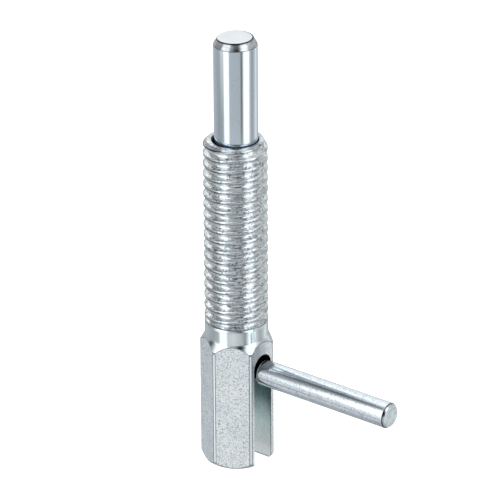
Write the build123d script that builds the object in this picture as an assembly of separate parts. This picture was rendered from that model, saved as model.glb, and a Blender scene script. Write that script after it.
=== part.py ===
from build123d import *
from math import cos, radians, sqrt, tan
import os

# Indexing plunger: a threaded sleeve with a slotted hexagonal end, a sprung round pin and a side lever.
# Origin at the centre of the hexagonal end face, +Z towards the nose, +X along the lever. Millimetres.

# Sleeve, outside
sleeve_length = 50.8
hex_across_flats = 9.525
hex_edge_chamfer = 0.27
hex_length = 20.1
hex_shoulder_angle = 61.0
hex_end_chamfer = 0.6
neck_diameter = 9.29
neck_length = 2.3
neck_fillet = 0.8

# Thread on the sleeve, 3/8-16 UNC with dulled crests
thread_diameter = 9.33
thread_pitch = 1.5875
thread_depth = 0.86
thread_flank_angle = 30.0
thread_crest_width = 0.33
thread_start_angle = 13.6
ridge_sink = 0.1
mouth_chamfer = 0.6

# Plunger pin
nose_diameter = 6.35
nose_standout = 15.65
nose_guide_length = 7.6
nose_tip_chamfer_width = 0.58
nose_tip_chamfer_height = 1.04
stem_diameter = 4.76
stem_tail = 3.5
stem_end_chamfer = 0.4

# Pull lever
lever_diameter = 3.8
lever_height = 15.05
lever_reach = 27.9
lever_face_gap = 0.12
lever_rim_chamfer = 0.25
lever_tip_chamfer_width = 0.3
lever_tip_chamfer_length = 0.4
spigot_diameter = 3.175
spigot_end_setback = 0.9

# Slot in the hexagonal end
slot_width = 4.0
slot_head_room = 0.8

# Return spring
spring_wire = 0.6
spring_active_coils = 7.5
spring_closed_turns = 1
spring_seat_height = 19.5

# Running clearances, on the radius
nose_clearance = 0.15
stem_clearance = 0.15
bore_mouth_chamfer = 0.16
spring_end_gap = 0.03
closed_coil_gap = 0.018

# Worked out from the sizes above
thread_bottom = hex_length + neck_length
bore_radius = nose_diameter / 2 + nose_clearance
stem_hole_radius = stem_diameter / 2 + stem_clearance
hex_corner_radius = hex_across_flats / sqrt(3)
nose_back = sleeve_length - nose_guide_length
nose_tip = sleeve_length + nose_standout
slot_arch_height = lever_height + lever_diameter / 2 + slot_head_room - slot_width / 2
lever_start = hex_across_flats / 2 + lever_face_gap
beyond = 1.0


def turned(points):
    """A solid of revolution about Z from (radius, height) points."""
    outline = make_face(Plane.XZ * Polyline(*points, close=True))
    return revolve(outline, Axis.Z)


def hexagonal_end():
    """Hex bar with flattened corners, its ends turned down to cones, and the neck above it."""
    hexagon = RegularPolygon(hex_corner_radius, 6, rotation=30)
    bar = extrude(hexagon, hex_length)
    bar = chamfer(bar.edges().filter_by(Axis.Z), hex_edge_chamfer)
    neck = neck_diameter / 2
    widest = hex_corner_radius + beyond
    shoulder_drop = (widest - neck) * tan(radians(hex_shoulder_angle))
    end_radius = hex_corner_radius - hex_edge_chamfer * cos(radians(60)) - hex_end_chamfer
    envelope = turned(
        [
            (0, 0),
            (end_radius, 0),
            (widest, widest - end_radius),
            (widest, hex_length - shoulder_drop),
            (neck, hex_length),
            (0, hex_length),
        ]
    )
    plain_neck = Pos(0, 0, hex_length) * Cylinder(
        neck, neck_length, align=(Align.CENTER, Align.CENTER, Align.MIN)
    )
    shank = (bar & envelope) + plain_neck
    neck_foot = [
        edge
        for edge in shank.edges().filter_by(GeomType.CIRCLE)
        if abs(edge.center().Z - hex_length) < 0.01
    ]
    return fillet(neck_foot, neck_fillet)


def thread():
    """Threaded barrel above the neck, chamfered at the mouth."""
    crest = thread_diameter / 2
    root = crest - thread_depth
    core_end = sleeve_length + 2 * thread_pitch
    core = turned(
        [
            (0, thread_bottom - 2 * thread_pitch),
            (root, thread_bottom - 2 * thread_pitch),
            (root, core_end),
            (0, core_end),
        ]
    )
    envelope = turned(
        [
            (0, thread_bottom),
            (crest + beyond, thread_bottom),
            (crest + beyond, sleeve_length - mouth_chamfer - beyond),
            (crest - mouth_chamfer, sleeve_length),
            (0, sleeve_length),
        ]
    )
    threaded = (Rot(0, 0, 180) * core + thread_ridge()) & envelope
    return Rot(0, 0, thread_start_angle) * threaded


def thread_ridge():
    """Helical vee ridge, sunk a little into the core and run a turn past both ends of the thread."""
    flank = tan(radians(thread_flank_angle))
    root = thread_diameter / 2 - thread_depth
    half_crest = thread_crest_width / 2
    half_foot = half_crest + (thread_depth + ridge_sink) * flank
    start = thread_bottom - thread_pitch
    run = sleeve_length - thread_bottom + 2 * thread_pitch
    helix = Edge.make_helix(thread_pitch, run, root, center=(0, 0, start))
    section_plane = Plane(origin=(root, 0, start), x_dir=(1, 0, 0), z_dir=(0, -1, 0))
    section = Polyline(
        (-ridge_sink, -half_foot),
        (thread_depth, -half_crest),
        (thread_depth, half_crest),
        (-ridge_sink, half_foot),
        close=True,
    )
    return sweep(make_face(section_plane * section), path=helix, is_frenet=True)


def bore():
    """Guide bore from the mouth to the spring seat, then the stem hole through the hex."""
    return turned(
        [
            (0, -beyond),
            (stem_hole_radius, -beyond),
            (stem_hole_radius, spring_seat_height),
            (bore_radius, spring_seat_height),
            (bore_radius, sleeve_length - bore_mouth_chamfer),
            (bore_radius + bore_mouth_chamfer + beyond, sleeve_length + beyond),
            (0, sleeve_length + beyond),
        ]
    )


def lever_slot():
    """Slot through the +X flat into the stem hole, open at the hex end, with a round top."""
    reach = hex_across_flats / 2 + beyond
    legs = Box(
        reach,
        slot_width,
        slot_arch_height + beyond,
        align=(Align.MIN, Align.CENTER, Align.MAX),
    )
    arch = Rot(0, 90, 0) * Cylinder(
        slot_width / 2, reach, align=(Align.CENTER, Align.CENTER, Align.MIN)
    )
    return Pos(0, 0, slot_arch_height) * (legs + arch)


def sleeve_body():
    return hexagonal_end() + thread() - bore() - lever_slot()


def plunger_pin():
    """Nose and stem in one piece, with the lever's cross hole through the stem."""
    nose = nose_diameter / 2
    stem = stem_diameter / 2
    stem_end = lever_height - stem_tail
    body = turned(
        [
            (0, stem_end),
            (stem - stem_end_chamfer, stem_end),
            (stem, stem_end + stem_end_chamfer),
            (stem, nose_back),
            (nose, nose_back),
            (nose, nose_tip - nose_tip_chamfer_height),
            (nose - nose_tip_chamfer_width, nose_tip),
            (0, nose_tip),
        ]
    )
    cross_hole = Pos(0, 0, lever_height) * Rot(0, 90, 0) * Cylinder(
        spigot_diameter / 2, stem_diameter + 2 * beyond
    )
    return body - cross_hole


def pull_lever():
    """Round bar along +X, reduced to a spigot that fills the stem's cross hole."""
    lever = lever_diameter / 2
    spigot = spigot_diameter / 2
    spigot_end = spigot_end_setback - stem_diameter / 2
    bar = turned(
        [
            (0, spigot_end),
            (spigot, spigot_end),
            (spigot, lever_start),
            (lever - lever_rim_chamfer, lever_start),
            (lever, lever_start + lever_rim_chamfer),
            (lever, lever_reach - lever_tip_chamfer_length),
            (lever - lever_tip_chamfer_width, lever_reach),
            (0, lever_reach),
        ]
    )
    return Pos(0, 0, lever_height) * Rot(0, 90, 0) * bar


def coil(coil_radius, pitch, turns, start, start_angle):
    """Round wire swept up a helix, from a height and an angle about Z."""
    helix = Edge.make_helix(pitch, pitch * turns, coil_radius)
    section = Plane(origin=helix @ 0, z_dir=helix % 0) * Circle(spring_wire / 2)
    wire = sweep(section, path=helix, is_frenet=True)
    return Pos(0, 0, start) * Rot(0, 0, start_angle) * wire


def return_spring():
    """Compression spring round the stem, with a closed coil at each end."""
    coil_radius = (bore_radius + stem_diameter / 2) / 2
    closed_pitch = spring_wire + closed_coil_gap
    closed_height = closed_pitch * spring_closed_turns
    bottom = spring_seat_height + spring_end_gap + spring_wire / 2
    top = nose_back - spring_end_gap - spring_wire / 2
    active_height = top - bottom - 2 * closed_height
    active_pitch = active_height / spring_active_coils
    joins = (
        (bottom + closed_height, 360 * spring_closed_turns),
        (top - closed_height, 360 * (spring_closed_turns + spring_active_coils)),
    )
    spring = coil(coil_radius, closed_pitch, spring_closed_turns, bottom, 0)
    spring += coil(coil_radius, active_pitch, spring_active_coils, *joins[0])
    spring += coil(coil_radius, closed_pitch, spring_closed_turns, *joins[1])
    for height, angle in joins:
        spring += Pos(0, 0, height) * Rot(0, 0, angle) * Pos(coil_radius, 0, 0) * Sphere(spring_wire / 2)
    return spring


pieces = {
    "sleeve_body": sleeve_body(),
    "plunger_pin": plunger_pin(),
    "pull_lever": pull_lever(),
    "return_spring": return_spring(),
}

os.makedirs("parts", exist_ok=True)
for name, shape in pieces.items():
    export_step(shape, f"parts/{name}.step")
    print(name, round(shape.volume, 3), shape.is_valid)
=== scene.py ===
from math import atan2, cos, degrees, hypot, pi, radians, sin, tan

import bmesh
import bpy
from mathutils import Matrix, Vector


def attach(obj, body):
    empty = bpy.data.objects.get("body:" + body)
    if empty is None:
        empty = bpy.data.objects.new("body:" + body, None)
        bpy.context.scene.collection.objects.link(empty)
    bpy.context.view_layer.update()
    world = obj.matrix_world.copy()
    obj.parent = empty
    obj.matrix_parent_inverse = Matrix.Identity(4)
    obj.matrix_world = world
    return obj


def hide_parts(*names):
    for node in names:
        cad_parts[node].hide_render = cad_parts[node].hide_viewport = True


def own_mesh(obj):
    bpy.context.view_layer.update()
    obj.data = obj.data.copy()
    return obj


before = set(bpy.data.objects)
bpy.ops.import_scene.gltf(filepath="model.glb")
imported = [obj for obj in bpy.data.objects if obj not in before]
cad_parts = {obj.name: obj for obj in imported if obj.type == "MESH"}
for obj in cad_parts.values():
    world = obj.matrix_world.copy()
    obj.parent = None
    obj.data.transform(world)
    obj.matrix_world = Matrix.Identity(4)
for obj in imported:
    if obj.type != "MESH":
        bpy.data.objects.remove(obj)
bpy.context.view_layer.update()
mm = 0.001
slack = 0.01  # how far off a measure a point may lie, in millimetres or degrees
scene = bpy.context.scene
scene.view_settings.view_transform = "Standard"


# small helpers for node trees

def plug(socket, value):
    # a value is either another node's output or a plain setting
    if isinstance(value, bpy.types.NodeSocket):
        socket.id_data.links.new(value, socket)
    else:
        socket.default_value = value


def addNode(tree, kind, settings=None, **values):
    node = tree.nodes.new(kind)
    for key, value in (settings or {}).items():
        setattr(node, key, value)
    for key, value in values.items():
        plug(node.inputs[key.replace("_", " ")], value)
    return node


def calc(operation, *values):
    # the node goes into the tree of whichever value is a socket
    tree = next(value.id_data for value in values if isinstance(value, bpy.types.NodeSocket))
    node = addNode(tree, "ShaderNodeMath", {"operation": operation})
    for socket, value in zip(node.inputs, values):
        plug(socket, value)
    return node.outputs[0]


def plus(first, second):
    return calc("ADD", first, second)


def minus(first, second):
    return calc("SUBTRACT", first, second)


def times(first, second):
    return calc("MULTIPLY", first, second)


def vectorCalc(operation, first, second=(0, 0, 0)):
    node = addNode(first.id_data, "ShaderNodeVectorMath", {"operation": operation})
    plug(node.inputs[0], first)
    plug(node.inputs[1], second)
    return node.outputs


def split(vector):
    return addNode(vector.id_data, "ShaderNodeSeparateXYZ", Vector=vector).outputs


def roundAxis(radius, angle, height):
    # the point at a radius from the Z axis, an angle about it and a height
    place = addNode(height.id_data, "ShaderNodeCombineXYZ", Z=height)
    plug(place.inputs["X"], times(radius, calc("COSINE", angle)))
    plug(place.inputs["Y"], times(radius, calc("SINE", angle)))
    return place.outputs[0]


def mixColours(share, first, second, kind="MIX"):
    node = addNode(share.id_data, "ShaderNodeMix", {"data_type": "RGBA", "blend_type": kind}, Factor=share)
    plug(node.inputs[6], first)
    plug(node.inputs[7], second)
    return node.outputs[2]


def fade(value, span, unit=1):
    # 0 at the span's start and 1 at its end, limited to that range
    start, end = (edge * unit for edge in span)
    node = addNode(value.id_data, "ShaderNodeMapRange", Value=value, From_Min=start, From_Max=end)
    return node.outputs["Result"]


def newGroup(name, use, inputs, outputs):
    # the sockets are given as name and kind
    tree = bpy.data.node_groups.new(name, use + "NodeTree")
    for way, sockets in (("INPUT", inputs), ("OUTPUT", outputs)):
        for socket, kind in sockets.items():
            tree.interface.new_socket(socket, in_out=way, socket_type="NodeSocket" + kind)
    return tree, tree.nodes.new("NodeGroupInput").outputs, tree.nodes.new("NodeGroupOutput").inputs


def ramp(factor, stops):
    node = addNode(factor.id_data, "ShaderNodeValToRGB", Fac=factor)
    elements = node.color_ramp.elements
    while len(elements) < len(stops):
        elements.new(0.5)
    for element, (position, level) in zip(elements, stops):
        element.position = position
        element.color = (*level, 1) if isinstance(level, tuple) else (level, level, level, 1)
    return node.outputs["Color"]


# shared shader groups: each gives masks, heights or colours

def makeToneGroup():
    # slow change of tone over the plating
    tree, given, out = newGroup(
        "platingTone", "Shader",
        {"Vector": "Vector", "Scale": "Float", "Pale": "Color", "Deep": "Color"},
        {"Color": "Color"},
    )
    noise = addNode(tree, "ShaderNodeTexNoise", Vector=given["Vector"], Scale=given["Scale"], Detail=4.0)
    plug(out["Color"], mixColours(fade(noise.outputs["Fac"], (0.35, 0.65)), given["Deep"], given["Pale"]))
    return tree


def makeGrainGroup():
    # fine crystal grain of the zinc, with small dark pits where the two noises are both low
    fineShare, coarseShare, coarseScale, deepestPit = 0.6, 0.4, 0.45, 0.36
    tree, given, out = newGroup(
        "zincGrain", "Shader",
        {"Vector": "Vector", "Scale": "Float", "Detail": "Float", "Pits": "Float", "Pit Limit": "Float"},
        {"Height": "Float", "Pits": "Float"},
    )
    fine = addNode(
        tree, "ShaderNodeTexNoise",
        Vector=given["Vector"], Scale=given["Scale"], Detail=given["Detail"], Roughness=0.7,
    )
    wider = times(given["Scale"], coarseScale)
    coarse = addNode(tree, "ShaderNodeTexNoise", Vector=given["Vector"], Scale=wider, Detail=2.0)
    both = times(coarse.outputs["Fac"], coarseShare)
    both = plus(times(fine.outputs["Fac"], fineShare), both)
    pits = addNode(tree, "ShaderNodeMapRange", Value=both, From_Min=given["Pit Limit"], From_Max=deepestPit)
    plug(out["Height"], both)
    plug(out["Pits"], times(pits.outputs["Result"], given["Pits"]))
    return tree


def makeToolMarkGroup():
    # fine lines left by turning, drawing or milling, long where the stretch is small
    tree, given, out = newGroup(
        "toolMarks", "Shader",
        {"Vector": "Vector", "Stretch": "Vector", "Detail": "Float"},
        {"Height": "Float", "Lines": "Float"},
    )
    scaled = vectorCalc("MULTIPLY", given["Vector"], given["Stretch"])["Vector"]
    noise = addNode(
        tree, "ShaderNodeTexNoise", Vector=scaled, Scale=1.0, Detail=given["Detail"], Roughness=0.65
    )
    plug(out["Height"], noise.outputs["Fac"])
    plug(out["Lines"], fade(noise.outputs["Fac"], (0.3, 0.7)))
    return tree


def makePlaceGroup():
    # where a point lies: across the sleeve's thread ridge, as a share of the pitch, and across its hex
    # flat, as a share of 60 degrees, from 0 at the middle to 0.5 at the corner
    tree, given, out = newGroup(
        "sleevePlace", "Shader",
        {"Vector": "Vector", "Pitch": "Float", "First Ridge": "Float"},
        dict.fromkeys(("Radius", "Height", "Off Ridge", "Off Flat"), "Float"),
    )
    spot = split(given["Vector"])
    turn = calc("DIVIDE", calc("ARCTAN2", spot["Y"], spot["X"]), 2 * pi)
    squared = plus(calc("POWER", spot["X"], 2.0), calc("POWER", spot["Y"], 2.0))
    climb = calc("DIVIDE", minus(spot["Z"], given["First Ridge"]), given["Pitch"])
    ridge = calc("FRACT", plus(minus(climb, turn), 0.5))
    side = calc("FRACT", calc("MULTIPLY_ADD", turn, 6.0, 0.5))
    plug(out["Radius"], calc("SQRT", squared))
    plug(out["Height"], spot["Z"])
    plug(out["Off Ridge"], minus(ridge, 0.5))
    plug(out["Off Flat"], calc("ABSOLUTE", minus(side, 0.5)))
    return tree


toneGroup = makeToneGroup()
grainGroup = makeGrainGroup()
markGroup = makeToolMarkGroup()
placeGroup = makePlaceGroup()
print("shader groups ready")


# small helpers for materials

def useGroup(group, **values):
    return addNode(values["Vector"].id_data, "ShaderNodeGroup", {"node_tree": group}, **values).outputs


def bump(height, distance, **normal):
    node = addNode(height.id_data, "ShaderNodeBump", Height=height, Strength=1.0, Distance=distance, **normal)
    return node.outputs["Normal"]


def darken(colour, mask, tone):
    # multiplies a colour down to the tone, slightly bluer, where the mask is high
    redShare, blueShare = 0.97, 1.02
    deep = (tone * redShare, tone, min(1.0, tone * blueShare), 1)
    return mixColours(mask, colour, deep, "MULTIPLY")


def shade(colour, value, mark):
    # the mark gives start and end in millimetres, and the tone past the end
    return darken(colour, fade(value, mark[:2], mm), mark[2])


def line(value, mark, unit=mm):
    # 1 along a line, fading out at both sides: the mark gives middle, half width and softness
    centre, half, soft = (part * unit for part in mark[:3])
    away = calc("ABSOLUTE", minus(value, centre))
    return fade(away, (half + soft, half))


def patchy(where, patches, mask):
    # breaks a mask up with noise: patches give its scale and the levels where it starts and ends
    noise = addNode(where.id_data, "ShaderNodeTexNoise", Vector=where, Scale=patches[0], Detail=3.0)
    return times(mask, fade(noise.outputs["Fac"], patches[1:]))


def blob(where, centre, size, flat):
    # 1 near a point and 0 past the size, both in millimetres, flattened in height
    coreShare = 0.4
    apart = vectorCalc("SUBTRACT", where, [value * mm for value in centre])["Vector"]
    apart = vectorCalc("MULTIPLY", apart, (1, 1, flat))["Vector"]
    return fade(vectorCalc("LENGTH", apart)["Value"], (size, size * coreShare), mm)


def changeMetal(shader, mask, change):
    metallic = shader.inputs["Metallic"]
    plug(metallic, calc("MULTIPLY_ADD", mask, change, metallic.default_value))


plainLook = {  # what the finishes share, unless their own dictionaries say otherwise
    "grainScale": 5200.0, "grainDetail": 3.0, "pits": 0.3, "pitLimit": 0.44, "markDetail": 5.0,
    "markDepth": 0.003, "metallic": 1.0, "roughChange": 0.08, "pitRough": 0.1,
}


def zincMaterial(name, ownLook, detail=None):
    look = {**plainLook, **ownLook}
    material = bpy.data.materials.new(name)
    material.use_nodes = True
    tree = material.node_tree
    shader = tree.nodes["Principled BSDF"]
    where = addNode(tree, "ShaderNodeTexCoord").outputs["Object"]
    pale, deep = (*look["pale"], 1), (*look["deep"], 1)
    tone = useGroup(toneGroup, Vector=where, Scale=look["toneScale"], Pale=pale, Deep=deep)
    grain = useGroup(
        grainGroup, Vector=where, Scale=look["grainScale"], Detail=look["grainDetail"],
        Pits=look["pits"], Pit_Limit=look["pitLimit"],
    )
    marks = useGroup(markGroup, Vector=where, Stretch=look["stretch"], Detail=look["markDetail"])
    colour = darken(tone["Color"], grain["Pits"], look["pitTone"])
    colour = darken(colour, times(marks["Lines"], look["lineMask"]), look["lineTone"])
    shader.inputs["Metallic"].default_value = look["metallic"]
    if detail:
        colour = detail(where, colour, shader)
    plug(shader.inputs["Base Color"], colour)
    change = times(marks["Lines"], look["roughChange"])
    change = plus(change, times(grain["Pits"], look["pitRough"]))
    plug(shader.inputs["Roughness"], plus(change, look["roughness"]))
    normal = bump(grain["Height"], look["grainDepth"] * mm)
    plug(shader.inputs["Normal"], bump(marks["Height"], look["markDepth"] * mm, Normal=normal))
    return material


# small helpers for meshes

def addObject(name, mesh):
    item = bpy.data.objects.new(name, mesh)
    scene.collection.objects.link(item)
    return item


def settle(item):
    # turns what the modifiers make into a plain mesh
    shown = item.evaluated_get(bpy.context.evaluated_depsgraph_get())
    mesh = bpy.data.meshes.new_from_object(shown)
    item.modifiers.clear()
    item.data = mesh
    return item


def endTree(given, out, geometry):
    # the two nodes that every geometry tree ends with
    tree = geometry.id_data
    real = addNode(tree, "GeometryNodeRealizeInstances", Geometry=geometry)
    dressed = addNode(tree, "GeometryNodeSetMaterial", Geometry=real.outputs[0], Material=given["Material"])
    plug(out["Geometry"], dressed.outputs[0])
    return tree


def nodesMesh(name, tree, values):
    item = addObject(name, bpy.data.meshes.new(name))
    modifier = item.modifiers.new("build", "NODES")
    modifier.node_group = tree
    for socket in tree.interface.items_tree:
        if socket.item_type == "SOCKET" and socket.in_out == "INPUT" and socket.name in values:
            modifier[socket.identifier] = values[socket.name]
    return settle(item)


def cutWith(item, cutter):
    modifier = item.modifiers.new("cut", "BOOLEAN")
    modifier.operation = "DIFFERENCE"
    modifier.solver = "EXACT"
    modifier.object = cutter
    settle(item)
    bpy.data.objects.remove(cutter)


def finishEdges(item, limitFor):
    # smooth everywhere except where two faces meet more sharply than the limit there
    mesh = item.data
    shape = bmesh.new()
    shape.from_mesh(mesh)
    for face in shape.faces:
        face.smooth = True
    for edge in shape.edges:
        if len(edge.link_faces) == 2:
            edge.smooth = edge.calc_face_angle(0.0) < radians(limitFor(edge))
    shape.to_mesh(mesh)
    shape.free()


def roundCorners(points, radius, steps):
    # (radius, height) outline with each inner corner replaced by a short arc
    sideShare = 0.45  # the most that an arc takes of the side next to it
    out = [points[0]]
    for before, corner, after in zip(points, points[1:], points[2:]):
        a = Vector(before) - Vector(corner)
        b = Vector(after) - Vector(corner)
        reach = min(radius, a.length * sideShare, b.length * sideShare)
        start = Vector(corner) + a.normalized() * reach
        end = Vector(corner) + b.normalized() * reach
        for k in range(steps + 1):
            t = k / steps
            out.append(tuple(start.lerp(Vector(corner), t).lerp(Vector(corner).lerp(end, t), t)))
    out.append(points[-1])
    return out


def joinRings(shape, low, high):
    # faces between two rings of points, one of which may be a single pole
    count = max(len(low), len(high))
    for k in range(count):
        after = (k + 1) % count
        if len(low) == 1:
            shape.faces.new((low[0], high[after], high[k]))
        elif len(high) == 1:
            shape.faces.new((low[k], low[after], high[0]))
        else:
            shape.faces.new((low[k], low[after], high[after], high[k]))


def addPoint(shape, radius, height, angle):
    return shape.verts.new((radius * mm * cos(angle), radius * mm * sin(angle), height * mm))


def finishMesh(shape, name):
    bmesh.ops.recalc_face_normals(shape, faces=shape.faces)
    mesh = bpy.data.meshes.new(name)
    shape.to_mesh(mesh)
    shape.free()
    return mesh


def turnedMesh(name, outline, segments):
    # outline of (radius, height) points from one pole to the other, turned about Z
    shape = bmesh.new()
    rings = []
    for radius, height in outline:
        if radius == 0:
            rings.append([shape.verts.new((0, 0, height * mm))])
        else:
            rings.append([addPoint(shape, radius, height, 2 * pi * k / segments) for k in range(segments)])
    for low, high in zip(rings, rings[1:]):
        joinRings(shape, low, high)
    return finishMesh(shape, name)


def crossMesh(name, outline, segments, height):
    # a turned mesh laid along X at a height
    mesh = turnedMesh(name, outline, segments)
    mesh.transform(Matrix.Translation((0, 0, height * mm)) @ Matrix.Rotation(radians(90), 4, "Y"))
    return mesh


def giveMaterials(mesh, materials, pick):
    mesh.materials.clear()
    for material in materials:
        mesh.materials.append(material)
    for face in mesh.polygons:
        face.material_index = materials.index(pick(face))


# threaded sleeve, in millimetres and degrees

sleeve = {
    "length": 50.8, "acrossFlats": 9.525, "cornerAngle": 2.5, "hexLength": 20.1, "shoulderAngle": 61.0,
    "endRadius": 4.764, "neckRadius": 4.645, "neckFillet": 0.8, "threadStart": 22.4,
    "crestRadius": 4.665, "rootRadius": 3.996, "pitch": 1.5875, "crestWidth": 0.33, "flankAngle": 30.0,
    "rootRound": 0.42, "crestRound": 0.04, "wear": 0.022, "wearScale": 1500.0, "wearSeed": 7.0,
    "firstRidge": 20.7525, "threadTurns": 20, "mouthChamfer": 0.6, "runOutSlope": 1.6,
    "boreRadius": 3.325, "boreEdge": 0.16, "seatHeight": 19.5, "stemHoleRadius": 2.53,
    "slotWidth": 4.0, "slotArch": 15.75, "cutterReach": 7.0, "cutterDrop": 1.0,
    "columns": 144, "rowsPerTurn": 20, "wallRows": 24, "shoulderRows": 3, "filletRows": 6, "neckRows": 4,
    "archSteps": 32, "weldGap": 0.001, "ringGap": 0.0008, "ringLift": 0.0005, "tinyGap": 0.0001,
    "neckMargin": 0.1, "hexSharpAngle": 20, "threadSharpAngle": 70, "boreEdgeShare": 0.9,
    "uprightLimit": 0.02,
    # painted shade lines on the thread, in shares of the pitch: middle, half width, softness and tone
    "crestLine": (0.0, 0.075, 0.02, 0.92), "upperLine": (0.175, 0.045, 0.03, 0.84),
    "crestShadowLine": (-0.085, 0.045, 0.014, 0.06), "ridgePatches": (1600.0, 0.3, 0.5),
    # the painted shadow line under each crest is faint on the side that this points to, and full past the
    # second place
    "crestShadowSide": (0.787, 0.616, 0), "crestShadowSpan": (-0.8, -2.6), "crestShadowLeast": 0.28,
    # shades: start, end and tone
    "mouthShade": (50.0, 50.25, 0.85), "startShade": (22.58, 22.5, 0.5),
    "shoulderShade": (0.17, 0.08, 0.28), "footShade": (0.16, 0.08, 0.3),
    "rightCornerShade": (4.0, 4.2, 0.72), "leftFlatShade": (4.6, 4.72, 0.84), "leftFlatSide": -120.0,
    "slotUpperShade": (6.5, 9.5, 0.5), "slotArchShade": (13.2, 14.4, 0.06),
    # flattened corners, in shares of 60 degrees, with their painted highlight, and the slotted flat's painted
    # reflection in the lever and its painted shade
    "cornerSpan": (0.475, 0.481), "cornerLine": (0.464, 0.009, 0.003, 0.2),
    "cornerHighlightColour": (0.9, 0.95, 0.98, 1), "cornerHighlightMetal": -0.4, "mirrorSpan": (4.2, 4.4), "mirrorTone": 0.3,
    "shadedAcross": (4.7, 4.75), "shadedAside": (1.3, -0.9), "shadedUp": (8.0, 13.0), "shadedTone": 0.55,
    # slot walls: painted light towards the open end, with a dark rim
    "slotLightSpan": (10.0, 5.5), "slotLightShare": 0.85, "slotLightColour": (0.9, 0.95, 0.94, 1),
    "slotRimSpan": (4.58, 4.66), "slotFootSpan": (0.22, 0.12), "slotRimTone": 0.3,
    # dull scuff and dark spots round the foot of the neck: place, size and flattening
    "scuff": ((2.5, -3.92, 21.2), 1.15, 0.45), "scuffMetal": -0.3,
    "darkSpots": (
        ((-0.98, -4.65, 19.8), 0.7, 1.2), ((3.3, -3.4, 19.78), 0.95, 3.2), ((4.9, -1.5, 19.3), 0.5, 1.0),
    ),
    "darkSpotPatches": (3200.0, 0.32, 0.5), "darkSpotTone": 0.3,
}
flatLook = {  # rolled flats of the hex bar, spangled by the zinc
    "toneScale": 260.0, "pale": (0.92, 0.98, 0.995), "deep": (0.82, 0.9, 0.925), "grainScale": 9800.0,
    "pits": 1.0, "pitTone": 0.16, "pitLimit": 0.51, "grainDepth": 0.014,
    "stretch": (1500.0, 1500.0, 90.0), "lineMask": 0.3, "lineTone": 0.88, "markDepth": 0.004,
    "metallic": 0.54, "roughness": 0.38,
}
turnedLook = {  # neck, shoulder and end cone, turned on a lathe
    "toneScale": 400.0, "pale": (0.86, 0.95, 0.98), "deep": (0.76, 0.85, 0.89), "pits": 0.6,
    "pitTone": 0.65, "grainDepth": 0.004, "stretch": (1900.0, 1900.0, 120.0), "lineMask": 0.6,
    "lineTone": 0.74, "metallic": 0.97, "roughness": 0.14, "roughChange": 0.07,
}
threadLook = {  # plated thread, mottled and streaked
    "toneScale": 900.0, "pale": (0.97, 1.0, 1.0), "deep": (0.82, 0.88, 0.915), "grainScale": 3200.0,
    "grainDetail": 1.0, "pits": 1.0, "pitTone": 0.3, "pitLimit": 0.45, "grainDepth": 0.04,
    "stretch": (900.0, 900.0, 4200.0), "markDetail": 1.0, "lineMask": 1.0, "lineTone": 0.7,
    "markDepth": 0.02, "metallic": 0.92, "roughness": 0.08, "roughChange": 0.06,
}
slotLook = {  # milled slot walls
    "toneScale": 350.0, "pale": (0.72, 0.87, 0.9), "deep": (0.54, 0.7, 0.74), "pitTone": 0.8,
    "grainDepth": 0.002, "stretch": (2600.0, 300.0, 60.0), "lineMask": 0.8, "lineTone": 0.65,
    "roughness": 0.24,
}
boreLook = {  # inside of the sleeve, painted dark as painted shade
    "toneScale": 400.0, "pale": (0.13, 0.14, 0.15), "deep": (0.08, 0.09, 0.1), "pitTone": 0.7,
    "grainDepth": 0.003, "stretch": (120.0, 120.0, 4500.0), "lineMask": 0.3, "lineTone": 0.8,
    "roughness": 0.4,
}


def threadDetail(where, colour, shader):
    # painted shade in patches on the crests and upper flanks, a painted shadow line under each crest, darker
    # towards the mouth and a dark line where the thread starts
    size = sleeve
    place = useGroup(
        placeGroup, Vector=where, Pitch=size["pitch"] * mm, First_Ridge=size["firstRidge"] * mm
    )
    # painted shade in patches on the crests and upper flanks
    for mark in (size["crestLine"], size["upperLine"]):
        wearAndShade = patchy(where, size["ridgePatches"], line(place["Off Ridge"], mark, 1))
        colour = darken(colour, wearAndShade, mark[3])
    # painted shadow line under each crest, full towards the camera's left
    across = vectorCalc("DOT_PRODUCT", where, size["crestShadowSide"])["Value"]
    least = size["crestShadowLeast"]
    side = calc("MULTIPLY_ADD", fade(across, size["crestShadowSpan"], mm), 1 - least, least)
    crestShadow = times(line(place["Off Ridge"], size["crestShadowLine"], 1), side)
    colour = darken(colour, crestShadow, size["crestShadowLine"][3])
    colour = shade(colour, place["Height"], size["mouthShade"])
    return shade(colour, place["Height"], size["startShade"])


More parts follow.
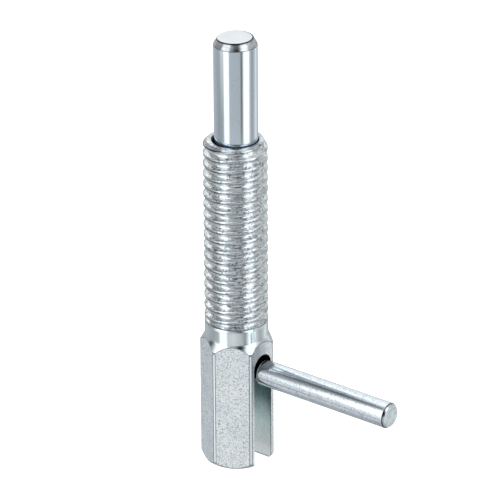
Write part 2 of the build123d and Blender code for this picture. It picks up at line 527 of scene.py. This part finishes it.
def flatDetail(where, colour, shader):
    # flattened corners painted bright as a painted highlight between thin dark lines, and a dark line along
    # each top and foot arc
    size = sleeve
    place = useGroup(placeGroup, Vector=where)
    # painted highlight: the corner bands are made pale and less metallic
    corner = fade(place["Off Flat"], size["cornerSpan"])
    colour = mixColours(corner, colour, size["cornerHighlightColour"])
    changeMetal(shader, corner, size["cornerHighlightMetal"])
    colour = darken(colour, line(place["Off Flat"], size["cornerLine"], 1), size["cornerLine"][3])
    acrossCorner = calc("COSINE", times(place["Off Flat"], pi / 3))
    reach = calc("DIVIDE", size["acrossFlats"] / 2 * mm, acrossCorner)
    slope = tan(radians(size["shoulderAngle"]))
    top = calc("MULTIPLY_ADD", reach, -slope, (size["hexLength"] + size["neckRadius"] * slope) * mm)
    colour = shade(colour, minus(top, place["Height"]), size["shoulderShade"])
    # painted reflection: the slotted flat is darkened for glossy rays, so it looks dark in the lever's
    # reflection of it, and painted shade darkens it beside the lever
    spot = split(where)
    mirrored = addNode(where.id_data, "ShaderNodeLightPath").outputs["Is Glossy Ray"]
    mirrored = times(fade(spot["X"], size["mirrorSpan"], mm), mirrored)
    colour = darken(colour, mirrored, size["mirrorTone"])
    shaded = fade(spot["X"], size["shadedAcross"], mm)
    shaded = times(shaded, fade(spot["Y"], size["shadedAside"], mm))
    shaded = times(shaded, fade(place["Height"], size["shadedUp"], mm))
    colour = darken(colour, shaded, size["shadedTone"])
    rightCorner = times(corner, fade(spot["X"], size["rightCornerShade"][:2], mm))
    colour = darken(colour, rightCorner, size["rightCornerShade"][2])
    foot = minus(place["Height"], minus(reach, size["endRadius"] * mm))
    colour = shade(colour, foot, size["footShade"])
    # painted shade: the flat at the camera's left is darker
    angle = radians(size["leftFlatSide"])
    left = vectorCalc("DOT_PRODUCT", where, (cos(angle), sin(angle), 0))["Value"]
    return shade(colour, left, size["leftFlatShade"])


def neckDetail(where, colour, shader):
    # dull scuff and dark spots round the foot of the neck
    changeMetal(shader, blob(where, *sleeve["scuff"]), sleeve["scuffMetal"])
    for darkSpot in sleeve["darkSpots"]:
        mask = patchy(where, sleeve["darkSpotPatches"], blob(where, *darkSpot))
        colour = darken(colour, mask, sleeve["darkSpotTone"])
    return colour


def slotDetail(where, colour, shader):
    # painted shade, darker up the slot and black under the arch, and painted light, paler towards the open
    # end
    size = sleeve
    spot = split(where)
    # painted shade up the slot and under the arch
    colour = shade(colour, spot["Z"], size["slotUpperShade"])
    colour = shade(colour, spot["Z"], size["slotArchShade"])
    # painted light towards the open end
    pale = times(fade(spot["Z"], size["slotLightSpan"], mm), size["slotLightShare"])
    colour = mixColours(pale, colour, size["slotLightColour"])
    rim = fade(spot["X"], size["slotRimSpan"], mm)
    rim = calc("MAXIMUM", rim, fade(spot["Z"], size["slotFootSpan"], mm))
    return darken(colour, rim, size["slotRimTone"])


threadZinc = zincMaterial("threadZinc", threadLook, threadDetail)
turnedZinc = zincMaterial("turnedZinc", turnedLook, neckDetail)
rolledFlat = zincMaterial("rolledFlat", flatLook, flatDetail)
milledSlot = zincMaterial("milledSlot", slotLook, slotDetail)
# painted shade: the inside of the sleeve is given a dark material
shadedBore = zincMaterial("shadedBore", boreLook)
print("sleeve materials ready")


threadLengths = {  # the thread tree's lengths and where the sleeve's dictionary gives them
    "Pitch": "pitch", "Start": "threadStart", "End": "length", "Crest Radius": "crestRadius",
    "Root Radius": "rootRadius", "Crest Width": "crestWidth", "Crest Round": "crestRound",
    "Root Round": "rootRound", "Neck Radius": "neckRadius", "Mouth Chamfer": "mouthChamfer",
    "First Ridge": "firstRidge", "Wear": "wear", "Weld Gap": "weldGap",
}


def makeThreadTree():
    ratios = ("Flank Slope", "Run Out Slope", "Root Share", "Wear Scale", "Wear Seed")
    tree, given, out = newGroup(
        "helicalThread", "Geometry",
        {
            **dict.fromkeys((*threadLengths, *ratios), "Float"),
            "Columns": "Int", "Rows per Turn": "Int", "Turns": "Int", "Material": "Material",
        },
        {"Geometry": "Geometry"},
    )
    rows = times(given["Rows per Turn"], given["Turns"])
    grid = addNode(tree, "GeometryNodeMeshGrid", Size_X=1.0, Size_Y=1.0)
    plug(grid.inputs["Vertices X"], plus(given["Columns"], 1))
    plug(grid.inputs["Vertices Y"], plus(rows, 1))
    spot = split(addNode(tree, "GeometryNodeInputPosition").outputs[0])
    turn = plus(spot["X"], 0.5)
    angle = times(turn, 2 * pi)
    climb = times(plus(spot["Y"], 0.5), given["Turns"])
    rise = times(plus(climb, turn), given["Pitch"])
    height = plus(rise, given["First Ridge"])
    height = calc("MINIMUM", calc("MAXIMUM", height, given["Start"]), given["End"])
    # how far this point is from the middle of its ridge, first as a share of the pitch
    along = calc("DIVIDE", minus(height, given["First Ridge"]), given["Pitch"])
    along = calc("FRACT", plus(minus(along, turn), 0.5))
    offRidge = times(calc("ABSOLUTE", minus(along, 0.5)), given["Pitch"])
    downFlank = minus(offRidge, times(given["Crest Width"], 0.5))
    flank = minus(given["Crest Radius"], times(downFlank, given["Flank Slope"]))
    # rounded root: an arc that touches both flanks
    offRoot = minus(times(given["Pitch"], 0.5), offRidge)
    offRoot = calc("MINIMUM", offRoot, times(given["Root Round"], given["Root Share"]))
    sag = minus(calc("POWER", given["Root Round"], 2.0), calc("POWER", offRoot, 2.0))
    root = minus(given["Root Round"], calc("SQRT", sag))
    root = calc("MAXIMUM", flank, plus(given["Root Radius"], root))
    radius = calc("SMOOTH_MIN", given["Crest Radius"], root, given["Crest Round"])
    # light wear that roughens the ridges
    wearAndShade = addNode(
        tree, "ShaderNodeTexNoise", {"noise_dimensions": "4D"},
        Vector=roundAxis(given["Crest Radius"], angle, height),
        W=given["Wear Seed"], Scale=given["Wear Scale"], Detail=2.0,
    )
    radius = minus(radius, times(wearAndShade.outputs["Fac"], given["Wear"]))
    # chamfer at the mouth, and the run-out into the neck
    mouth = minus(minus(given["End"], given["Mouth Chamfer"]), height)
    radius = calc("MINIMUM", radius, plus(given["Crest Radius"], mouth))
    climbed = minus(height, given["Start"])
    radius = calc("MINIMUM", radius, plus(given["Neck Radius"], climbed))
    runOut = times(climbed, given["Run Out Slope"])
    radius = calc("MAXIMUM", radius, minus(given["Neck Radius"], runOut))
    place = roundAxis(radius, angle, height)
    moved = addNode(tree, "GeometryNodeSetPosition", Geometry=grid.outputs["Mesh"], Position=place)
    merged = addNode(
        tree, "GeometryNodeMergeByDistance", Geometry=moved.outputs[0], Distance=given["Weld Gap"]
    )
    return endTree(given, out, merged.outputs[0])


def hexRadius(angle):
    # distance from the axis to the hex outline, corners flattened
    fromFlat = abs((degrees(angle) + 30) % 60 - 30)
    apothem = sleeve["acrossFlats"] / 2
    bandEdge = 30 - sleeve["cornerAngle"]
    if fromFlat <= bandEdge + slack:
        return apothem / cos(radians(fromFlat))
    bandDistance = apothem / cos(radians(bandEdge)) * cos(radians(sleeve["cornerAngle"]))
    return bandDistance / cos(radians(30 - fromFlat))


def hexColumn(angle):
    # (radius, height) points up the outside of the hex end at one angle, to the top of the neck
    size = sleeve
    widest = hexRadius(angle)
    end, hexTop, neck, fillet = size["endRadius"], size["hexLength"], size["neckRadius"], size["neckFillet"]
    topEdge = hexTop - (widest - neck) * tan(radians(size["shoulderAngle"]))
    lowEdge = max(0.0, widest - end)
    points = [(min(widest, end), 0.0), (widest, lowEdge + size["ringLift"])]
    rows = size["wallRows"]
    for k in range(1, rows + 1):
        points.append((widest, lowEdge + (topEdge - lowEdge) * k / rows))
    lean = radians(90 - size["shoulderAngle"])
    reach = fillet * tan(lean / 2)
    footRadius = neck + reach * sin(lean)
    footHeight = hexTop - reach * cos(lean)
    rows = size["shoulderRows"]
    for k in range(1, rows + 1):
        down = (footRadius - widest) * k / rows
        points.append((widest + down, topEdge + (footHeight - topEdge) * k / rows))
    filletTop = hexTop + reach
    rows = size["filletRows"]
    for k in range(1, rows + 1):
        turn = lean * (1 - k / rows)
        points.append((neck + fillet - fillet * cos(turn), filletTop - fillet * sin(turn)))
    rows = size["neckRows"]
    for k in range(1, rows + 1):
        points.append((neck, filletTop + (size["threadStart"] - filletTop) * k / rows))
    return points


def closeSleeve(mesh):
    # the thread's mesh goes on down the bores, across the end face and up the hexagon to the neck
    size = sleeve
    columns = size["columns"]
    angles = [2 * pi * k / columns for k in range(columns)]
    shape = bmesh.new()
    shape.from_mesh(mesh)
    rim = [None] * columns
    for vert in shape.verts:
        if vert.co.z > (size["length"] - size["tinyGap"]) * mm:
            rim[round(atan2(vert.co.y, vert.co.x) / (2 * pi) * columns) % columns] = vert
    bore, edge, top = size["boreRadius"], size["boreEdge"], size["length"]
    seat, hole = size["seatHeight"], size["stemHoleRadius"]
    inside = (bore + edge, top), (bore, top - edge), (bore, seat), (hole, seat), (hole, 0.0)
    rings = [rim]
    for radius, height in inside:
        rings.append([addPoint(shape, radius, height, angle) for angle in angles])
    for level in zip(*(hexColumn(angle) for angle in angles)):
        rings.append([addPoint(shape, *point, angle) for point, angle in zip(level, angles)])
    for first, second in zip(rings, rings[1:]):
        joinRings(shape, first, second)
    bmesh.ops.remove_doubles(shape, verts=shape.verts, dist=size["ringGap"] * mm)
    bmesh.ops.dissolve_degenerate(shape, edges=shape.edges, dist=size["tinyGap"] * mm)
    bmesh.ops.recalc_face_normals(shape, faces=shape.faces)
    loose = [edge for edge in shape.edges if len(edge.link_faces) != 2]
    print("sleeve edges not closed:", len(loose))
    shape.to_mesh(mesh)
    shape.free()


def slotCutter():
    # two legs and a round arch, run out past the flat and the hex end
    half = sleeve["slotWidth"] / 2
    steps = sleeve["archSteps"]
    outline = [(-half, -sleeve["cutterDrop"])]
    for k in range(steps + 1):
        turn = pi * k / steps
        outline.append((-half * cos(turn), sleeve["slotArch"] + half * sin(turn)))
    outline.append((half, -sleeve["cutterDrop"]))
    block = bmesh.new()
    near, far = (
        [block.verts.new((x * mm, y * mm, z * mm)) for y, z in outline] for x in (0, sleeve["cutterReach"])
    )
    block.faces.new(near)
    block.faces.new(far)
    joinRings(block, near, far)
    return addObject("slotCutter", finishMesh(block, "slotCutter"))


def sleeveFinish(face):
    # which material a face of the sleeve has, by where it lies
    size = sleeve
    x, y, z = (value / mm for value in face.center)
    radius = hypot(x, y)
    mouthEdge = size["boreRadius"] + size["boreEdge"] * size["boreEdgeShare"]
    if radius < mouthEdge and z > size["seatHeight"] - slack:
        return shadedBore
    if z > size["threadStart"] + size["weldGap"]:
        return threadZinc
    if z >= size["threadStart"]:
        return turnedZinc
    outward = face.normal.x * x + face.normal.y * y > 0
    upright = abs(face.normal.z) < size["uprightLimit"]
    if upright and outward and radius > size["acrossFlats"] / 2 - 2 * slack:
        return rolledFlat
    if radius < size["stemHoleRadius"] + 2 * slack:
        return shadedBore if z > size["slotArch"] else milledSlot
    half = size["slotWidth"] / 2 + slack
    return milledSlot if x > 0 and abs(y) < half and z < size["slotArch"] + half else turnedZinc


def makeSleeve():
    size = sleeve
    values = {name: size[key] * mm for name, key in threadLengths.items()}
    flank = radians(size["flankAngle"])
    values.update({
        "Flank Slope": 1 / tan(flank), "Root Share": cos(flank), "Run Out Slope": size["runOutSlope"],
        "Wear Scale": size["wearScale"], "Wear Seed": size["wearSeed"], "Columns": size["columns"],
        "Rows per Turn": size["rowsPerTurn"], "Turns": size["threadTurns"], "Material": threadZinc,
    })
    body = nodesMesh("threadedSleeve", makeThreadTree(), values)
    closeSleeve(body.data)
    cutWith(body, slotCutter())
    giveMaterials(body.data, (threadZinc, turnedZinc, rolledFlat, milledSlot, shadedBore), sleeveFinish)
    neckTop = (size["threadStart"] - size["neckMargin"]) * mm
    below, above = size["hexSharpAngle"], size["threadSharpAngle"]
    finishEdges(body, lambda edge: below if edge.verts[0].co.z < neckTop else above)
    print("sleeve faces:", len(body.data.polygons))
    return body


threadedSleeve = makeSleeve()
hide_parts("sleeve_body")
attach(threadedSleeve, "sleeve")
print("sleeve ready")


# plunger pin, in millimetres

pin = {
    "noseRadius": 3.175, "noseTip": 66.45, "noseBack": 43.2, "tipFlat": 2.595, "tipChamfer": 1.04,
    "stemRadius": 2.38, "stemEnd": 11.55, "stemChamfer": 0.4, "edgeRound": 0.07, "roundSteps": 4,
    "crossHole": 1.5875, "crossHeight": 15.05, "cutterHalf": 4, "cutterSegments": 48, "segments": 128,
    "sharpAngle": 30, "facedCosine": 0.97,
    "sideways": (0.102, 0.08),  # the nose lies against one side of its loose bore
    # dark lines round the faced end and at the foot of its chamfer: middle, half width, softness and tone
    "tipEdgeLine": (2.63, 0.1, 0.03, 0.08), "tipEdgeSpan": (66.2, 66.3), "chamferLine": (65.42, 0.04, 0.03, 0.5),
}
pinLook = {  # ground and plated pin
    "toneScale": 160.0, "pale": (0.775, 0.87, 0.955), "deep": (0.74, 0.84, 0.93), "grainScale": 4600.0,
    "pits": 0.45, "pitTone": 0.8, "pitLimit": 0.47, "grainDepth": 0.0012,
    "stretch": (1900.0, 1900.0, 300.0), "markDetail": 2.0, "lineMask": 0.2, "lineTone": 0.86,
    "markDepth": 0.002, "roughness": 0.1, "roughChange": 0.04, "pitRough": 0.05,
}
chamferLook = {  # turned chamfer of the pin, ringed
    **pinLook, "pale": (0.84, 0.88, 0.92), "deep": (0.56, 0.61, 0.66), "toneScale": 1100.0,
    "stretch": (900.0, 900.0, 4200.0), "lineMask": 0.8, "lineTone": 0.62, "markDepth": 0.014,
    "roughness": 0.12,
}
tipLook = {  # faced end of the pin
    "toneScale": 500.0, "pale": (0.86, 0.89, 0.92), "deep": (0.8, 0.84, 0.87), "grainScale": 3600.0,
    "pitTone": 0.85, "grainDepth": 0.006, "stretch": (2600.0, 500.0, 500.0), "lineMask": 0.2,
    "lineTone": 0.93, "roughness": 0.42, "roughChange": 0.06, "pitRough": 0.05,
}


def pinDetail(where, colour, shader):
    # dark ring round the faced end, and a dark line at the foot of its chamfer
    place = useGroup(placeGroup, Vector=where)
    tipEdge = line(place["Radius"], pin["tipEdgeLine"])
    tipEdge = times(tipEdge, fade(place["Height"], pin["tipEdgeSpan"], mm))
    colour = darken(colour, tipEdge, pin["tipEdgeLine"][3])
    return darken(colour, line(place["Height"], pin["chamferLine"]), pin["chamferLine"][3])


groundPin = zincMaterial("groundPin", pinLook, pinDetail)
pinChamfer = zincMaterial("pinChamfer", chamferLook, pinDetail)
facedEnd = zincMaterial("facedEnd", tipLook, pinDetail)
print("pin materials ready")


def pinFinish(face):
    if abs(face.normal.z) > pin["facedCosine"]:
        return facedEnd
    chamferFoot = pin["noseTip"] - pin["tipChamfer"] - pin["edgeRound"]
    return pinChamfer if face.center.z > chamferFoot * mm else groundPin


def makePin():
    size = pin
    stem, nose, chamfer = size["stemRadius"], size["noseRadius"], size["stemChamfer"]
    end, back, tip = size["stemEnd"], size["noseBack"], size["noseTip"]
    corners = [
        (0, end), (stem - chamfer, end), (stem, end + chamfer), (stem, back),
        (nose, back), (nose, tip - size["tipChamfer"]), (size["tipFlat"], tip), (0, tip),
    ]
    outline = roundCorners(corners, size["edgeRound"], size["roundSteps"])
    body = addObject("plungerPin", turnedMesh("plungerPin", outline, size["segments"]))
    hole, half = size["crossHole"], size["cutterHalf"]
    cutter = [(0, -half), (hole, -half), (hole, half), (0, half)]
    drill = crossMesh("crossHole", cutter, size["cutterSegments"], size["crossHeight"])
    cutWith(body, addObject("crossHole", drill))
    giveMaterials(body.data, (groundPin, facedEnd, pinChamfer), pinFinish)
    for vert in body.data.vertices:
        if vert.co.z > (back - slack) * mm:
            vert.co.x += size["sideways"][0] * mm
            vert.co.y += size["sideways"][1] * mm
    finishEdges(body, lambda edge: size["sharpAngle"])
    return body


plungerPin = makePin()
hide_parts("plunger_pin")
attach(plungerPin, "plunger")
print("pin ready")


# pull lever, in millimetres

lever = {
    "radius": 1.9, "height": 15.05, "start": 4.8825, "reach": 27.9, "rimChamfer": 0.25,
    "tipChamferWidth": 0.3, "tipChamferLength": 0.4, "spigotRadius": 1.5875, "spigotEnd": -1.48,
    "edgeRound": 0.06, "roundSteps": 3, "segments": 96, "sharpAngle": 30, "facedCosine": 0.97,
    # pale rim and dark end ring: middle, half width, softness, and for the ring its tone
    "rimLine": (5.03, 0.12, 0.05), "rimMetal": -0.7, "endLine": (27.58, 0.07, 0.04, 0.2),
    # painted shade on the spigot inside the sleeve: start, end and tone
    "spigotShade": (4.88, 4.86, 0.14),
}
leverLook = {  # drawn bar, mottled by handling
    "toneScale": 420.0, "pale": (0.85, 0.92, 0.98), "deep": (0.76, 0.84, 0.91), "grainDetail": 1.0,
    "pits": 1.0, "pitTone": 0.6, "pitLimit": 0.48, "grainDepth": 0.009,
    "stretch": (110.0, 4200.0, 4200.0), "lineMask": 0.25, "lineTone": 0.88,
    "roughness": 0.1, "roughChange": 0.05, "pitRough": 0.08,
}
endLook = {  # free end of the lever, duller than the pin's
    **tipLook, "toneScale": 1400.0, "pale": (0.72, 0.8, 0.82), "deep": (0.5, 0.57, 0.6), "metallic": 0.5,
}


def leverDetail(where, colour, shader):
    # painted shade on the spigot inside the sleeve, pale rim beside it, dark ring behind the free end
    along = split(where)["X"]
    changeMetal(shader, line(along, lever["rimLine"]), lever["rimMetal"])
    colour = shade(colour, along, lever["spigotShade"])
    return darken(colour, line(along, lever["endLine"]), lever["endLine"][3])


drawnLever = zincMaterial("drawnLever", leverLook, leverDetail)
leverEnd = zincMaterial("leverEnd", endLook)
print("lever materials ready")


def leverFinish(face):
    return leverEnd if abs(face.normal.x) > lever["facedCosine"] else drawnLever


def makeLever():
    size = lever
    spigot, end, start = size["spigotRadius"], size["spigotEnd"], size["start"]
    radius, rim, tip = size["radius"], size["rimChamfer"], size["reach"]
    corners = [
        (0, end), (spigot, end), (spigot, start), (radius - rim, start), (radius, start + rim),
        (radius, tip - size["tipChamferLength"]), (radius - size["tipChamferWidth"], tip), (0, tip),
    ]
    outline = roundCorners(corners, size["edgeRound"], size["roundSteps"])
    bar = addObject("pullLever", crossMesh("pullLever", outline, size["segments"], size["height"]))
    giveMaterials(bar.data, (drawnLever, leverEnd), leverFinish)
    finishEdges(bar, lambda edge: size["sharpAngle"])
    return bar


pullLever = makeLever()
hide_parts("pull_lever")
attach(pullLever, "plunger")
print("lever ready")


# return spring, in millimetres

spring = {
    "seat": 19.5, "back": 43.2, "endGap": 0.03, "wire": 0.6, "coilRadius": 2.8525,
    "activeCoils": 7.5, "closedPitch": 0.618, "pointsPerTurn": 40, "wireSides": 12, "sharpAngle": 50,
    "shortest": 0.2824,  # share of its length that is left at full pull
}
wireLook = {  # spring wire
    "toneScale": 500.0, "pale": (0.66, 0.68, 0.7), "deep": (0.52, 0.54, 0.56), "pits": 0.4,
    "pitTone": 0.7, "grainDepth": 0.003, "stretch": (2400.0, 2400.0, 900.0), "lineMask": 0.3,
    "lineTone": 0.8, "markDepth": 0.002, "roughness": 0.26, "roughChange": 0.1,
}
springWire = zincMaterial("springWire", wireLook)


def makeSpringTree():
    lengths = ("Bottom", "Coil Radius", "Closed Pitch", "Active Pitch", "Active Coils", "Wire Radius")
    tree, given, out = newGroup(
        "coilSpring", "Geometry",
        {**dict.fromkeys(lengths, "Float"), "Points": "Int", "Wire Sides": "Int", "Material": "Material"},
        {"Geometry": "Geometry"},
    )
    straight = addNode(tree, "GeometryNodeCurvePrimitiveLine")
    points = addNode(tree, "GeometryNodeResampleCurve", Curve=straight.outputs[0], Count=given["Points"])
    share = addNode(tree, "GeometryNodeSplineParameter").outputs["Factor"]
    # one closed turn, the active coils, and one closed turn again
    turns = times(share, plus(given["Active Coils"], 2.0))
    lower = calc("MINIMUM", turns, 1.0)
    beyond = minus(turns, 1.0)
    active = calc("MINIMUM", calc("MAXIMUM", beyond, 0.0), given["Active Coils"])
    upper = calc("MAXIMUM", minus(beyond, given["Active Coils"]), 0.0)
    height = calc("MULTIPLY_ADD", plus(lower, upper), given["Closed Pitch"], given["Bottom"])
    height = calc("MULTIPLY_ADD", active, given["Active Pitch"], height)
    place = roundAxis(given["Coil Radius"], times(turns, 2 * pi), height)
    path = addNode(tree, "GeometryNodeSetPosition", Geometry=points.outputs[0], Position=place)
    section = addNode(
        tree, "GeometryNodeCurvePrimitiveCircle", Resolution=given["Wire Sides"], Radius=given["Wire Radius"]
    )
    wire = addNode(
        tree, "GeometryNodeCurveToMesh",
        Curve=path.outputs[0], Profile_Curve=section.outputs["Curve"], Fill_Caps=True,
    )
    return endTree(given, out, wire.outputs[0])


def makeSpring():
    size = spring
    coils, half = size["activeCoils"], size["wire"] / 2
    bottom = size["seat"] + size["endGap"] + half
    top = size["back"] - size["endGap"] - half
    activeHeight = top - bottom - 2 * size["closedPitch"]
    coil = nodesMesh(
        "returnSpring",
        makeSpringTree(),
        {
            "Bottom": bottom * mm, "Coil Radius": size["coilRadius"] * mm,
            "Closed Pitch": size["closedPitch"] * mm, "Active Pitch": activeHeight / coils * mm,
            "Active Coils": coils, "Wire Radius": half * mm,
            "Points": round((coils + 2) * size["pointsPerTurn"]) + 1,
            "Wire Sides": size["wireSides"], "Material": springWire,
        },
    )
    finishEdges(coil, lambda edge: size["sharpAngle"])
    return coil


returnSpring = makeSpring()
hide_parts("return_spring")
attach(returnSpring, "sleeve")
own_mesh(returnSpring)
print("spring ready")


# floor, light and camera: metres, but for the view, which is in millimetres and degrees

studio = {
    "floorSize": 3.0, "floorColour": (0.9, 0.9, 0.9), "floorGlow": 0.42, "skyLevel": 0.95,
    "floorHeight": -0.0056,  # just below the stem when it is pulled right back
    "lampPower": 1.9, "lampSize": 0.45, "lampPlace": (0.3, -0.28, 0.75), "lampAim": (0, 0, 0.03),
    "viewAzimuth": 38.057, "viewElevation": 25.252, "viewRoll": -0.34, "viewDistance": 583.5,
    "focalPixels": 4043.4, "imagePixels": 500, "sensorWidth": 36, "clipNear": 0.01, "clipFar": 10,
    "aimRight": 2.023, "aimHeight": 33.262,
}
# stops that the two lower rings of light share, and then two of the upper ones
lowerShared = (
    (0.332, 1.5), (0.395, 1.5), (0.41, 0.53), (0.565, 0.5), (0.581, 0.1), (0.6, 0.4), (0.625, 1.5),
    (0.69, 1.5), (0.715, 0.62), (0.76, 0.36), (0.82, 0.62), (0.855, 0.95), (0.9, 0.5), (1.0, 0.48),
)
upperShared = (
    (0.315, 1.6), (0.39, 1.7), (0.425, 0.5), (0.475, 0.12), (0.5, 0.03), (0.545, 0.03), (0.57, 0.3),
    (0.595, 1.4), (0.68, 1.6), (0.715, 0.7), (0.8, 0.6), (0.855, 0.46), (0.89, 0.6), (0.925, 0.95),
    (1.0, 1.0),
)
sky = {  # rings of light: each has (share of the compass, level) stops, with 0.5 at the camera's side
    "low": (
        (0.0, (0.5, 0.51, 0.53)), (0.13, (0.5, 0.51, 0.53)), (0.23, (0.35, 0.36, 0.37)), (0.29, 0.38),
        (0.318, 0.5), *lowerShared,
    ),
    "beam": (
        (0.0, 0.5), (0.13, 0.5), (0.23, 0.42), (0.265, 0.6), (0.285, 0.8), (0.305, 0.74), (0.318, 0.76),
        *lowerShared,
    ),
    "glint": (
        (0.0, 1.0), (0.078, 1.0), (0.11, 0.77), (0.145, 0.42), (0.262, 0.35), (0.28, 0.75), (0.292, 1.25),
        *upperShared,
    ),
    "middle": (
        (0.0, 1.0), (0.06, 1.35), (0.11, 1.3), (0.145, 0.6), (0.19, 0.4), (0.266, 0.32), (0.278, 0.5),
        (0.294, 1.25), *upperShared,
    ),
    "high": (
        (0.0, 1.15), (0.06, 1.2), (0.09, 1.1), (0.12, 0.62), (0.165, 0.36), (0.19, 0.16), (0.205, 0.1),
        (0.235, 0.14), (0.265, 0.3), (0.28, 0.55), (0.295, 1.1), (0.315, 1.7), (0.39, 1.7), (0.43, 0.7),
        (0.47, 0.45), (0.53, 0.4), (0.57, 0.6), (0.6, 1.4), (0.69, 1.7), (0.725, 0.75), (0.8, 0.65),
        (0.825, 0.95), (0.85, 0.95), (0.87, 0.6), (0.925, 0.9), (1.0, 1.15),
    ),
    # the direction's height over which each next ring takes over
    "rings": (
        ("beam", (-0.42, -0.34)), ("glint", (-0.08, 0.2)), ("middle", (0.3, 0.44)), ("high", (0.58, 0.74)),
    ),
    # overhead the stops go from the camera's left to its right instead
    "overhead": (
        (0.0, 0.62), (0.05, 0.75), (0.1, 1.2), (0.4, 1.2), (0.47, 0.66), (0.77, 0.6), (0.84, 1.2),
        (0.93, 1.2), (1.0, 0.8),
    ),
    "overheadSpan": (0.84, 0.9), "overheadWidth": 1.25,
    "ground": (((-0.45, -0.52), (0.68, 0.69, 0.71, 1)), ((-0.62, -0.85), (0.42, 0.42, 0.43, 1))),
}


def makeFloor():
    half = studio["floorSize"] / 2
    height = studio["floorHeight"]
    corners = [(x * half, y * half, height) for x, y in ((-1, -1), (1, -1), (1, 1), (-1, 1))]
    mesh = bpy.data.meshes.new("floor")
    mesh.from_pydata(corners, [], [(0, 1, 2, 3)])
    floor = addObject("floor", mesh)
    material = bpy.data.materials.new("paleFloor")
    material.use_nodes = True
    tree = material.node_tree
    tree.nodes.clear()
    seen = addNode(tree, "ShaderNodeLightPath").outputs["Is Camera Ray"]
    matte = addNode(tree, "ShaderNodeBsdfDiffuse", Color=(*studio["floorColour"], 1))
    glow = addNode(tree, "ShaderNodeEmission", Strength=times(seen, studio["floorGlow"]))
    both = addNode(tree, "ShaderNodeAddShader")
    plug(both.inputs[0], matte.outputs[0])
    plug(both.inputs[1], glow.outputs[0])
    addNode(tree, "ShaderNodeOutputMaterial", Surface=both.outputs[0])
    mesh.materials.append(material)
    floor.visible_glossy = False


def makeWorld():
    # soft boxes and dark gaps around the object, for reflections only: the rest sees a plain pale sky
    world = bpy.data.worlds.new("studio")
    scene.world = world
    world.use_nodes = True
    tree = world.node_tree
    tree.nodes.clear()
    toward = addNode(tree, "ShaderNodeTexCoord").outputs["Generated"]
    part = split(toward)
    front = radians(studio["viewAzimuth"] - 90)
    share = minus(calc("ARCTAN2", part["Y"], part["X"]), front)
    share = calc("FRACT", plus(calc("DIVIDE", share, 2 * pi), 0.5))
    whole = ramp(share, sky["low"])
    for name, span in sky["rings"]:
        whole = mixColours(fade(part["Z"], span), whole, ramp(share, sky[name]))
    sideways = vectorCalc("DOT_PRODUCT", toward, (-sin(front), cos(front), 0))["Value"]
    sideways = calc("MULTIPLY_ADD", sideways, sky["overheadWidth"], 0.5)
    overhead = ramp(sideways, sky["overhead"])
    whole = mixColours(fade(part["Z"], sky["overheadSpan"]), whole, overhead)
    for span, colour in sky["ground"]:
        whole = mixColours(fade(part["Z"], span), whole, colour)
    rays = addNode(tree, "ShaderNodeLightPath").outputs
    level = studio["skyLevel"]
    seen = mixColours(rays["Is Glossy Ray"], (level, level, level, 1), whole)
    seen = mixColours(rays["Is Camera Ray"], seen, (1, 1, 1, 1))
    back = addNode(tree, "ShaderNodeBackground", Color=seen, Strength=1.0)
    addNode(tree, "ShaderNodeOutputWorld", Surface=back.outputs[0])


def makeLamp():
    light = bpy.data.lights.new("softBox", "AREA")
    light.energy = studio["lampPower"]
    light.size = studio["lampSize"]
    lamp = addObject("softBox", light)
    lamp.visible_glossy = False
    lamp.location = studio["lampPlace"]
    downward = Vector(studio["lampAim"]) - Vector(studio["lampPlace"])
    lamp.rotation_euler = downward.to_track_quat("-Z", "Y").to_euler()


def makeCamera():
    angles = (studio[name] for name in ("viewAzimuth", "viewElevation", "viewRoll"))
    azimuth, elevation, roll = map(radians, angles)
    right = Vector((cos(azimuth), sin(azimuth), 0))
    back = Vector((sin(azimuth) * cos(elevation), -cos(azimuth) * cos(elevation), sin(elevation)))
    up = back.cross(right)
    rightLeaned = right * cos(roll) + up * sin(roll)
    upLeaned = up * cos(roll) - right * sin(roll)
    aim = (right * studio["aimRight"] + Vector((0, 0, studio["aimHeight"]))) * mm
    place = aim + back * studio["viewDistance"] * mm
    view = bpy.data.cameras.new("camera")
    view.sensor_width = studio["sensorWidth"]
    view.lens = studio["focalPixels"] * studio["sensorWidth"] / studio["imagePixels"]
    view.clip_start = studio["clipNear"]
    view.clip_end = studio["clipFar"]
    camera = addObject("camera", view)
    turn = Matrix((rightLeaned, upLeaned, back)).transposed().to_4x4()
    camera.matrix_world = Matrix.Translation(place) @ turn
    scene.camera = camera


makeFloor()
makeWorld()
makeLamp()
makeCamera()
print("studio ready")
